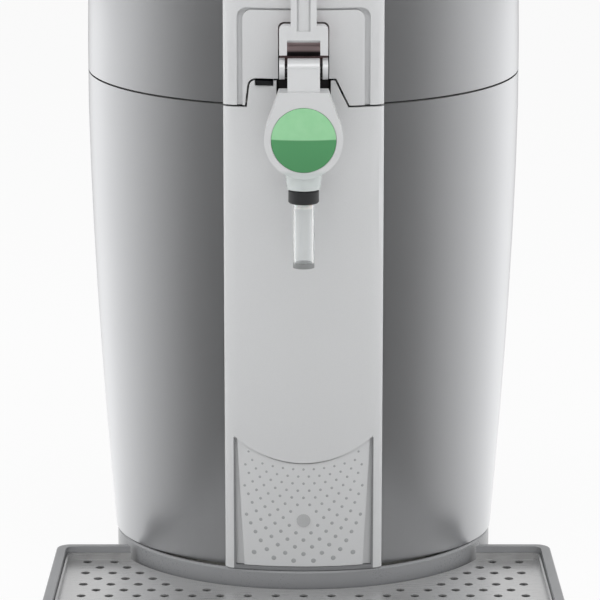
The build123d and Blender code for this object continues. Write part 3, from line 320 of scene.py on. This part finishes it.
LAMP_HEIGHT = 75.0    # of the pilot lamp's middle
LAMP_CLEAR = 6.5      # no dot's middle is nearer than this to the pilot lamp's
DOT_ARC = 0.0052      # how fast an arc of dots rises away from the middle, per millimetre
DOT_ROWS = 17
DOT_STEPS = 10        # dots to each side of the middle, as far as the plate reaches
DOT_FOOT = 43.5       # height of the lowest arc in the middle
DOT_RISE = 4.65       # distance from arc to arc
DOT_PITCH = 13.4      # on the lowest arc
DOT_PITCH_END = 5.0   # the pitch that the arcs draw near to, by this share from arc to arc
DOT_CLOSING = 0.88
DOT_SHARE = 0.137     # a dot's radius over its arc's pitch
DOT_MARGIN = 1.6      # least plate round a dot, with no step in it deeper than the next value
DOT_MARGIN_STEP = 0.8
DOT_SUNK = 0.05       # how far a dot's foot lies in the plate
DOT_CROWN = 0.22      # height of a dot's crown
DOT_SLOPE = 0.45      # share of a dot's radius that slopes up to its crown
DOT_SIDES = 12
IN_FRONT = 1.0        # metres ahead of the middle at which lines towards a node start


def surface_of(name):
    """Finds where a line along +Y first meets a node, with the normal there."""
    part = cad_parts[name]
    tree = BVHTree.FromPolygons([v.co for v in part.data.vertices], [p.vertices for p in part.data.polygons])

    def meet(x, z):
        place, normal, _, _ = tree.ray_cast(Vector((x, -IN_FRONT, z)), Vector((0, 1, 0)))
        return place, normal
    return meet


def piece(name, bm, body, material):
    """Makes a finished mesh an object on its body, at the origin."""
    mesh = bpy.data.meshes.new(name)
    bm.to_mesh(mesh)
    bm.free()
    mesh.materials.append(material)
    made = bpy.data.objects.new(name, mesh)
    bpy.context.scene.collection.objects.link(made)
    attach(made, body)
    return made


plate_at = surface_of("splash_plate")
bm = bmesh.new()
for row in range(DOT_ROWS):
    row_z = (DOT_FOOT + row * DOT_RISE) * MM
    pitch = (DOT_PITCH_END + (DOT_PITCH - DOT_PITCH_END) * DOT_CLOSING ** row) * MM
    radius = DOT_SHARE * pitch
    for step in range(-DOT_STEPS, DOT_STEPS + 1):
        x = (step + row % 2 / 2) * pitch
        z = row_z + DOT_ARC / MM * x * x
        clear = radius + DOT_MARGIN * MM
        around = [plate_at(x + dx, z + dz)[0]
                  for dx, dz in ((clear, 0), (-clear, 0), (0, clear), (0, -clear))]
        place, normal = plate_at(x, z)
        near_lamp = (Vector((x, z)) - Vector((0, LAMP_HEIGHT * MM))).length < LAMP_CLEAR * MM
        if place is None or near_lamp:
            continue
        if any(spot is None or abs(spot.y - place.y) > DOT_MARGIN_STEP * MM for spot in around):
            continue
        turn = Vector((0, 0, 1)).rotation_difference(normal).to_matrix().to_4x4()
        ring = bmesh.ops.create_circle(bm, cap_ends=True, segments=DOT_SIDES, radius=radius,
                                       matrix=Matrix.Translation(place - normal * DOT_SUNK * MM) @ turn)
        face = ring["verts"][0].link_faces[0]
        bmesh.ops.inset_individual(bm, faces=[face], thickness=radius * DOT_SLOPE, depth=DOT_CROWN * MM)
for face in bm.faces:
    face.smooth = True

# Grey on the dots, a shade darker than the paint round them: painted shade, like the shade that dimples in the
# plate would hold.
dot_shade_paint = moulded("grey_dots_painted_shade", "#9EA0A1", 0.40, grain=0.6, depth=0.004)
piece("splash_dots", bm, "casing", dot_shade_paint)

# ---------------------------------------------------------------- pilot lamp
# A round window of smoky clear styrene in the splash plate, with the lamp's board behind it.

# Prismatic styrene: tiny moulded lenses give it a fine net and a duller grey than the paint.
LENS_NET = 0.9        # millimetres from lens to lens
lens_mat = new_material("prismatic_smoked_styrene")
tree = lens_mat.node_tree
where = add(tree, "ShaderNodeTexCoord")
net = add(tree, "ShaderNodeTexVoronoi", {"Vector": where.outputs["Object"], "Scale": 1 / (LENS_NET * MM),
                                         "Randomness": 0.0})
relief = add(tree, "ShaderNodeBump", {"Height": net.outputs["Distance"], "Strength": 0.6, "Distance": 0.3 * MM})
shader = add(tree, "ShaderNodeBsdfPrincipled",
             {"Base Color": linear("#C1C2C3"), "Roughness": 0.22, "Transmission Weight": 0.25,
              "Normal": relief.outputs["Normal"]})
add(tree, "ShaderNodeOutputMaterial", {"Surface": shader.outputs[0]})
coat(lens_mat, "pilot_lamp_lens")

# ---------------------------------------------------------------- circuit boards
# Glass-fibre laminate with copper tracks under a green solder mask, one for the lamp, one for the cooler.

TRACK_PITCH = 5.0     # millimetres from track to track
board_mat = new_material("solder_masked_laminate")
tree = board_mat.node_tree
where = add(tree, "ShaderNodeTexCoord")
tracks = add(tree, "ShaderNodeTexBrick",
             {"Vector": where.outputs["Object"], "Color1": linear("#0F4A26"), "Color2": linear("#12582D"),
              "Mortar": linear("#1C7A42"), "Scale": 1 / (TRACK_PITCH * MM)})
shader = add(tree, "ShaderNodeBsdfPrincipled", {"Base Color": tracks.outputs["Color"], "Roughness": 0.35})
add(tree, "ShaderNodeOutputMaterial", {"Surface": shader.outputs[0]})
coat(board_mat, "lamp_board", "control_board")

# ---------------------------------------------------------------- foam jacket and insulation
# Blocks of moulded bead polystyrene round the cooling cup and in the lid.

# Bead foam: the steam-swollen beads show as a fine pebbled net, chalky white, painted darker towards each
# bead's edge as shade in the creases between beads.
BEAD_SIZE = 3.5
foam_mat = new_material("bead_polystyrene")
tree = foam_mat.node_tree
where = add(tree, "ShaderNodeTexCoord")
beads = add(tree, "ShaderNodeTexVoronoi", {"Vector": where.outputs["Object"], "Scale": 1 / (BEAD_SIZE * MM)})
# painted shade: darker towards each bead's edge, in the creases between beads
shade = add(tree, "ShaderNodeMapRange", {"Value": beads.outputs["Distance"], "From Max": 0.6,
                                         "To Min": 1.0, "To Max": 0.86})
tint = add(tree, "ShaderNodeVectorMath", {0: linear("#EDECE6")[:3], "Scale": shade.outputs["Result"]},
           operation="SCALE")
relief = add(tree, "ShaderNodeBump",
             {"Height": beads.outputs["Distance"], "Strength": 0.5, "Distance": 0.5 * MM}, invert=True)
shader = add(tree, "ShaderNodeBsdfPrincipled",
             {"Base Color": tint.outputs[0], "Roughness": 0.8, "Normal": relief.outputs["Normal"]})
add(tree, "ShaderNodeOutputMaterial", {"Surface": shader.outputs[0]})
coat(foam_mat, "foam_jacket", "lid_insulation")

# ---------------------------------------------------------------- cooling cup and cooler
# The cup that takes the keg is deep-drawn aluminium. A thermoelectric module draws its heat
# through the cold block to the extruded heat sink, which the fan cools.

# Deep-drawn aluminium: drawing leaves long vertical streaks in a soft metal gloss.
STREAK_WIDTH = 1.5
STREAK_SHARE = 0.04   # a streak's width over its length
drawn_mat = new_material("deep_drawn_aluminium")
tree = drawn_mat.node_tree
where = add(tree, "ShaderNodeTexCoord")
stretched = add(tree, "ShaderNodeMapping", {"Vector": where.outputs["Object"], "Scale": (1, 1, STREAK_SHARE)})
streaks = add(tree, "ShaderNodeTexNoise",
              {"Vector": stretched.outputs["Vector"], "Scale": 1 / (STREAK_WIDTH * MM), "Detail": 2.0})
gloss = add(tree, "ShaderNodeMapRange",
            {"Value": streaks.outputs["Fac"], "From Min": NOISE_LOW, "From Max": NOISE_HIGH,
             "To Min": 0.26, "To Max": 0.40})
relief = add(tree, "ShaderNodeBump", {"Height": streaks.outputs["Fac"], "Strength": 0.2, "Distance": 0.03 * MM})
shader = add(tree, "ShaderNodeBsdfPrincipled",
             {"Base Color": linear("#DADBDC"), "Metallic": 1.0, "Roughness": gloss.outputs["Result"],
              "Normal": relief.outputs["Normal"]})
add(tree, "ShaderNodeOutputMaterial", {"Surface": shader.outputs[0]})
coat(drawn_mat, "cooling_cup", "cold_block", "heat_sink")

# Stainless steel of the probe, the axles and the hinge pin: turned, plain and cool grey.
turned_steel = moulded("turned_stainless_steel", "#C4C5C7", 0.25, grain=0.5, depth=0.01, metallic=1.0)
coat(turned_steel, "temperature_sensor", "hinge_pin", "tap_pin")

# Fired alumina of the module: white, matt and slightly sandy.
alumina = moulded("fired_alumina", "#E8E6DF", 0.6, grain=0.4, depth=0.02)
coat(alumina, "thermoelectric_module")

# ---------------------------------------------------------------- chamber deck and lid liner
# The deck round the mouth of the chamber and the floor of the lid are plain grey ABS mouldings.

coat(tub_abs, "chamber_deck", "lid_liner", "line_clips")

# ---------------------------------------------------------------- fan, power supply and switch
# Parts moulded in glass-filled black nylon: the fan, the supply's case, the inlet, the switch,
# the latch bar in the lid and the connector that goes into the keg.

# Glass-filled nylon: the fibres dull the black to a soft charcoal gloss.
black_nylon = moulded("glass_filled_black_nylon", "#1D1E20", 0.38, grain=0.7, depth=0.01)
coat(black_nylon, "fan_frame", "fan_rotor", "power_supply", "power_inlet", "switch_frame", "power_rocker",
     "latch_bar", "keg_connector")

# ---------------------------------------------------------------- beer line and valve
# A silicone hose leads the beer through the lid to the spout's nozzle. The lever lifts the
# valve's plunger, a dark brown acetal moulding, to open the line.

# Silicone hose: milky, soft, with a waxy shine.
HOSE_CLOUD = 8.0      # millimetres between the milky clouds in the hose's wall
hose_mat = new_material("milky_silicone")
tree = hose_mat.node_tree
where = add(tree, "ShaderNodeTexCoord")
cloud = add(tree, "ShaderNodeTexNoise",
            {"Vector": where.outputs["Object"], "Scale": 1 / (HOSE_CLOUD * MM), "Detail": 2.0})
gloss = add(tree, "ShaderNodeMapRange",
            {"Value": cloud.outputs["Fac"], "From Min": NOISE_LOW, "From Max": NOISE_HIGH,
             "To Min": 0.28, "To Max": 0.4})
shader = add(tree, "ShaderNodeBsdfPrincipled",
             {"Base Color": linear("#E9EAE6"), "Roughness": gloss.outputs["Result"],
              "Subsurface Weight": 0.2, "Subsurface Scale": 0.003})
add(tree, "ShaderNodeOutputMaterial", {"Surface": shader.outputs[0]})
coat(hose_mat, "beer_line", "spout_nozzle")

# Acetal: dense, slightly greasy gloss, dyed a red brown.
brown_acetal = moulded("brown_acetal", "#54403F", 0.35, grain=0.6, depth=0.01)
coat(brown_acetal, "valve_plunger")


def height_share(tree, zero, one):
    """A share that goes from 0 to 1 between two heights, in millimetres."""
    where = add(tree, "ShaderNodeTexCoord")
    apart = add(tree, "ShaderNodeSeparateXYZ", {0: where.outputs["Object"]})
    share = add(tree, "ShaderNodeMapRange",
                {"Value": apart.outputs["Z"], "From Min": zero * MM, "From Max": one * MM})
    return share.outputs["Result"]


# The valve body is acetal too, a paler brown at its head. Below the head it is painted black, as painted shade
# of the dark slot behind the lever.
# Its steel bracket is dipped in the same plastics.
SLOT_SHADE_LINE = 372.9
SLOT_SHADE_BLUR = 0.8
valve_body_shade_mat = moulded("acetal_painted_slot_shade", "#1B1819", 0.38, grain=0.6, depth=0.008)
# the black below the head is painted shade of the dark slot behind the lever
retint(valve_body_shade_mat, height_share(valve_body_shade_mat.node_tree, SLOT_SHADE_LINE - SLOT_SHADE_BLUR, SLOT_SHADE_LINE + SLOT_SHADE_BLUR), "#A08E8E")
coat(valve_body_shade_mat, "tap_housing", "tap_bracket")

# ---------------------------------------------------------------- tap lever and tap head
# Lever and head hang on one axle. Both are moulded in pale silver-grey ABS, polished, with the
# metal pigment in the plastic.

# Pigmented ABS with a polished face: it is a little brighter and glossier than the painted panel.
lever_abs = moulded("polished_silver_abs", "#D0D1D2", 0.30, grain=0.4, depth=0.0005, metallic=0.1,
                    spread=0.005)
coat(lever_abs, "tap_lever")

# The finished lever has two saw-thin grooves beside its middle rib and a notch over each hub eye.
GROOVE_X = 3.55       # a groove's middle, to each side of the lever's
GROOVE_HALF = 0.55
GROOVE_DEEP = 2.6
GROOVE_FOOT = 388.5   # height of a groove's lower end
GROOVE_SHORT = 6.0    # how far below the lever's tip a groove ends
GROOVE_LEVEL = 420.0  # height at which the face that a groove is cut from is found
NOTCH_INNER = 11.1
NOTCH_LOW = 371.3
NOTCH_HIGH = 375.4
NOTCH_DEEP = 5.5
NOTCH_INSET = 1.5     # how far from a notch's inner end the face that it is cut from is found
GROOVE_START = 3.0    # how far in front of its face a groove's cut starts, and a notch's
NOTCH_START = 4.0
SIDE_OVER = 1.0       # how far past the lever's side a notch's cut goes


def cutter(bm, x0, x1, y0, y1, z0, z1):
    """Adds one block to a mesh of cutting blocks, from its two corners in millimetres."""
    place = Matrix.Translation(Vector(((x0 + x1) / 2, (y0 + y1) / 2, (z0 + z1) / 2)) * MM)
    size = Matrix.Diagonal(Vector((x1 - x0, y1 - y0, z1 - z0)) * MM).to_4x4()
    bmesh.ops.create_cube(bm, size=1.0, matrix=place @ size)


lever_at = surface_of("tap_lever")
_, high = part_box("tap_lever")
cuts = bmesh.new()
for side in (-1, 1):
    groove = sorted((side * (GROOVE_X - GROOVE_HALF), side * (GROOVE_X + GROOVE_HALF)))
    face = lever_at(side * GROOVE_X * MM, GROOVE_LEVEL * MM)[0].y / MM
    cutter(cuts, *groove, face - GROOVE_START, face + GROOVE_DEEP, GROOVE_FOOT, high[2] / MM - GROOVE_SHORT)
    notch = sorted((side * NOTCH_INNER, side * (high[0] / MM + SIDE_OVER)))
    face = lever_at(side * (NOTCH_INNER + NOTCH_INSET) * MM, (NOTCH_LOW + NOTCH_HIGH) / 2 * MM)[0].y / MM
    cutter(cuts, *notch, face - NOTCH_START, face + NOTCH_DEEP, NOTCH_LOW, NOTCH_HIGH)
cut_mesh = bpy.data.meshes.new("lever_cuts")
cuts.to_mesh(cut_mesh)
cuts.free()
cut_object = bpy.data.objects.new("lever_cuts", cut_mesh)
bpy.context.scene.collection.objects.link(cut_object)
bm = bmesh.new()
bm.from_mesh(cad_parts["tap_lever"].data)
bmesh.ops.remove_doubles(bm, verts=bm.verts, dist=WELD_REACH)
lever = piece("grooved_lever", bm, "lever", lever_abs)
cutting = lever.modifiers.new("cuts", "BOOLEAN")
cutting.object = cut_object
cutting.solver = "EXACT"
bpy.context.view_layer.update()
finished = bpy.data.meshes.new_from_object(lever.evaluated_get(bpy.context.evaluated_depsgraph_get()))
lever.modifiers.clear()
lever.data = finished
bpy.data.objects.remove(cut_object)
soften(lever)
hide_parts("tap_lever")

# The head is the same ABS. Its thin neck over the spout lets some light through and looks smoky.
NECK_TOP = 309.0
NECK_BLUR = 2.0
HEAD_GRAIN = 0.8
head_mat = new_material("polished_silver_abs_thin_neck")
tree = head_mat.node_tree
neck = height_share(tree, NECK_TOP, NECK_TOP - NECK_BLUR)
where = add(tree, "ShaderNodeTexCoord")
speckle = add(tree, "ShaderNodeTexNoise", {"Vector": where.outputs["Object"], "Scale": 1 / (HEAD_GRAIN * MM),
                                           "Detail": 2.0})
relief = add(tree, "ShaderNodeBump",
             {"Height": speckle.outputs["Fac"], "Strength": RELIEF_STRENGTH, "Distance": 0.003 * MM})
solid = add(tree, "ShaderNodeBsdfPrincipled",
            {"Base Color": linear("#CCCDCE"), "Metallic": 0.1, "Roughness": 0.30,
             "Normal": relief.outputs["Normal"]})
smoky = add(tree, "ShaderNodeBsdfPrincipled",
            {"Base Color": linear("#DDE3E2"), "Roughness": 0.14, "Transmission Weight": 0.35,
             "Normal": relief.outputs["Normal"]})
both = add(tree, "ShaderNodeMixShader", {0: neck, 1: solid.outputs[0], 2: smoky.outputs[0]})
add(tree, "ShaderNodeOutputMaterial", {"Surface": both.outputs[0]})
coat(head_mat, "tap_head")

# ---------------------------------------------------------------- badge
# A domed disc of green polyester resin that presses into the head. Its upper half is painted a paler
# green with clouds in it: a painted reflection of the light above.

# Cast resin: deep colour under a clear, wet-looking skin.
# The paler upper half, with its clouds, is a painted reflection of the light above the dome.
REFLECTION_LINE = 327.6   # height of the line between the two greens
REFLECTION_BLUR = 0.3
REFLECTION_CLOUD = 6.0     # millimetres between the clouds in the paler green
resin_mat = new_material("green_resin_painted_reflection")
tree = resin_mat.node_tree
where = add(tree, "ShaderNodeTexCoord")
cloud = add(tree, "ShaderNodeTexNoise",
            {"Vector": where.outputs["Object"], "Scale": 1 / (REFLECTION_CLOUD * MM), "Detail": 2.0})
reflected_share = height_share(tree, REFLECTION_LINE - REFLECTION_BLUR, REFLECTION_LINE + REFLECTION_BLUR)
tone = add(tree, "ShaderNodeMix", {"Factor": cloud.outputs["Fac"], "A": linear("#88BF90"),
                                   "B": linear("#96C99E")}, data_type="RGBA")
tone = add(tree, "ShaderNodeMix", {"Factor": reflected_share, "A": linear("#528F61"),
                                   "B": tone.outputs["Result"]}, data_type="RGBA")
shader = add(tree, "ShaderNodeBsdfPrincipled",
             {"Base Color": tone.outputs["Result"], "Roughness": 0.16, "Coat Weight": 0.5,
              "Coat Roughness": 0.05})
add(tree, "ShaderNodeOutputMaterial", {"Surface": shader.outputs[0]})
coat(resin_mat, "tap_badge")

# ---------------------------------------------------------------- spout
# A clear polycarbonate tube on the nozzle, held by a black collar. Its sawn end is left rough.

# Black nylon rubbed by hands and cloths: scuffed to a dark grey.
scuffed_nylon = moulded("scuffed_black_nylon", "#2F3031", 0.5, grain=0.7, depth=0.005)
coat(scuffed_nylon, "spout_collar")

# Clear polycarbonate: it bends the light at its rims, and the sawn end reads as a grey ring.
END_BAND = 3.2
END_BLUR = 0.5
low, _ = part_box("spout_tube")
clear_mat = new_material("clear_polycarbonate")
tree = clear_mat.node_tree
end = height_share(tree, low[2] / MM + END_BAND, low[2] / MM + END_BAND - END_BLUR)
glass = add(tree, "ShaderNodeBsdfPrincipled",
            {"Base Color": linear("#FDFEFE"), "Roughness": 0.03, "Transmission Weight": 0.95, "IOR": 1.58})
rough_cut = add(tree, "ShaderNodeBsdfPrincipled", {"Base Color": linear("#7C7E7E"), "Roughness": 0.5})
both = add(tree, "ShaderNodeMixShader", {0: end, 1: glass.outputs[0], 2: rough_cut.outputs[0]})
path = add(tree, "ShaderNodeLightPath")
lit = add(tree, "ShaderNodeBsdfTransparent", {"Color": linear("#F4F6F6")})
both = add(tree, "ShaderNodeMixShader",
           {0: path.outputs["Is Shadow Ray"], 1: both.outputs[0], 2: lit.outputs[0]})
add(tree, "ShaderNodeOutputMaterial", {"Surface": both.outputs[0]})
coat(clear_mat, "spout_tube")

# ---------------------------------------------------------------- drip tray
# A shallow tray of grey ABS that slides out on the tub's runners and catches the drops.

# Polished-tool ABS as on the collar, worn a little duller by wiping.
tray_abs = moulded("wiped_grey_abs", "#8C8D8F", 0.34, grain=0.9, depth=0.02)
coat(tray_abs, "drip_tray")

# ---------------------------------------------------------------- drip grid
# A punched sheet of stainless steel with an upturned edge, laid loose in the tray.

# Brushed stainless steel: the belt's lines run from side to side and smear what they mirror.
LINE_WIDTH = 0.5      # coarser than the belt's real lines, so that they show
LINE_SHARE = 0.02     # a line's width over its length
steel_mat = new_material("brushed_stainless_steel")
tree = steel_mat.node_tree
where = add(tree, "ShaderNodeTexCoord")
turned = add(tree, "ShaderNodeMapping", {"Vector": where.outputs["Object"], "Scale": (LINE_SHARE, 1, 1)})
lines = add(tree, "ShaderNodeTexNoise", {"Vector": turned.outputs["Vector"], "Scale": 1 / (LINE_WIDTH * MM),
                                         "Detail": 2.0})
gloss = add(tree, "ShaderNodeMapRange",
            {"Value": lines.outputs["Fac"], "From Min": NOISE_LOW, "From Max": NOISE_HIGH,
             "To Min": 0.26, "To Max": 0.36})
relief = add(tree, "ShaderNodeBump", {"Height": lines.outputs["Fac"], "Strength": 0.3, "Distance": 0.01 * MM})
shader = add(tree, "ShaderNodeBsdfPrincipled",
             {"Base Color": linear("#D4D4D4"), "Metallic": 0.75, "Roughness": gloss.outputs["Result"],
              "Normal": relief.outputs["Normal"]})
add(tree, "ShaderNodeOutputMaterial", {"Surface": shader.outputs[0]})
coat(steel_mat, "drip_grid")
